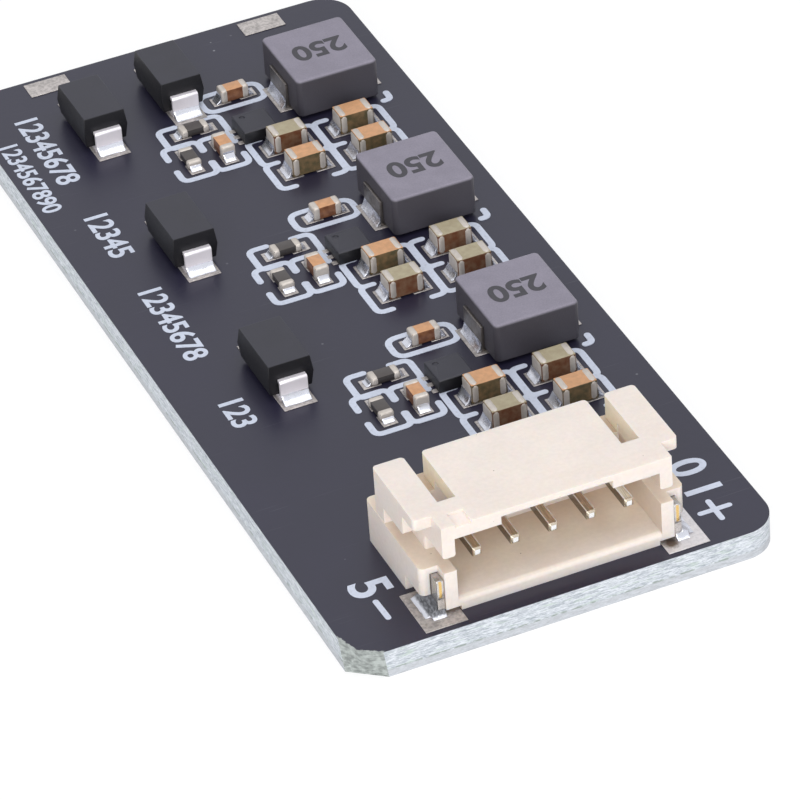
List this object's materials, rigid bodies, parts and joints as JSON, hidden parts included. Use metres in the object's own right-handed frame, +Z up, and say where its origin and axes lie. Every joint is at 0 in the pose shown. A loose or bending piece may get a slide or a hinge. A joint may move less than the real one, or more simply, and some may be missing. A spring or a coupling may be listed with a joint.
{
  "type": "active balancer board",
  "caption": "Narrow dark circuit board with a side-entry wire connector at one end and repeated balancing stages of inductors, diodes and chip parts along it.",
  "frame": {"origin": "centre of the board's underside", "axes": "+X across the board, +Y along the board away from the connector, +Z up out of the component side"},
  "size_m": [0.0226, 0.0544, 0.0067],
  "materials": {
    "board_laminate": "charcoal solder mask over glass-fibre laminate, pale fibrous cut edges",
    "housing_nylon": "ivory moulded nylon, fine satin grain",
    "contact_metal": "tin-plated brass wire, satin with drawn lines",
    "tab_metal": "tin-plated stamped brass, satin",
    "pad_tin": "dull tinned copper",
    "solder": "bright solder with darker flow marks",
    "terminal_tin": "tin-plated copper strip, satin",
    "inductor_core": "pressed iron powder, matte grey",
    "black_epoxy": "black moulded epoxy, fine grain",
    "resistor_body": "dark glazed film on white ceramic, tinned ends",
    "capacitor_body": "tan fired ceramic, tinned ends"
  },
  "bodies": {
    "root": {"board": "board_laminate", "connector_housing": "housing_nylon", "contact_pin_1": "contact_metal", "contact_pin_2": "contact_metal", "contact_pin_3": "contact_metal", "contact_pin_4": "contact_metal", "contact_pin_5": "contact_metal", "contact_solder": "solder", "controller_1": "black_epoxy", "controller_2": "black_epoxy", "controller_3": "black_epoxy", "diode_body_1": "black_epoxy", "diode_body_2": "black_epoxy", "diode_body_3": "black_epoxy", "diode_body_4": "black_epoxy", "diode_leads_1": "terminal_tin", "diode_leads_2": "terminal_tin", "diode_leads_3": "terminal_tin", "diode_leads_4": "terminal_tin", "diode_solder": "solder", "filter_capacitor_1": "capacitor_body", "filter_capacitor_2": "capacitor_body", "filter_capacitor_3": "capacitor_body", "gate_resistor_1": "resistor_body", "gate_resistor_2": "resistor_body", "gate_resistor_3": "resistor_body", "inductor_core_1": "inductor_core", "inductor_core_2": "inductor_core", "inductor_core_3": "inductor_core", "inductor_terminals_1": "terminal_tin", "inductor_terminals_2": "terminal_tin", "inductor_terminals_3": "terminal_tin", "sense_capacitor_1": "capacitor_body", "sense_capacitor_2": "capacitor_body", "sense_capacitor_3": "capacitor_body", "sense_resistor_1": "resistor_body", "sense_resistor_2": "resistor_body", "sense_resistor_3": "resistor_body", "solder_tab_left": "tab_metal", "solder_tab_right": "tab_metal", "stage_solder_1": "solder", "stage_solder_2": "solder", "stage_solder_3": "solder", "storage_capacitor_a_1": "capacitor_body", "storage_capacitor_a_2": "capacitor_body", "storage_capacitor_a_3": "capacitor_body", "storage_capacitor_b_1": "capacitor_body", "storage_capacitor_b_2": "capacitor_body", "storage_capacitor_b_3": "capacitor_body", "storage_capacitor_c_1": "capacitor_body", "storage_capacitor_c_2": "capacitor_body", "storage_capacitor_c_3": "capacitor_body", "storage_capacitor_d_1": "capacitor_body", "storage_capacitor_d_2": "capacitor_body", "storage_capacitor_d_3": "capacitor_body", "tab_solder_left": "solder", "tab_solder_right": "solder", "tinned_pads": "pad_tin"}
  },
  "joints": []
}
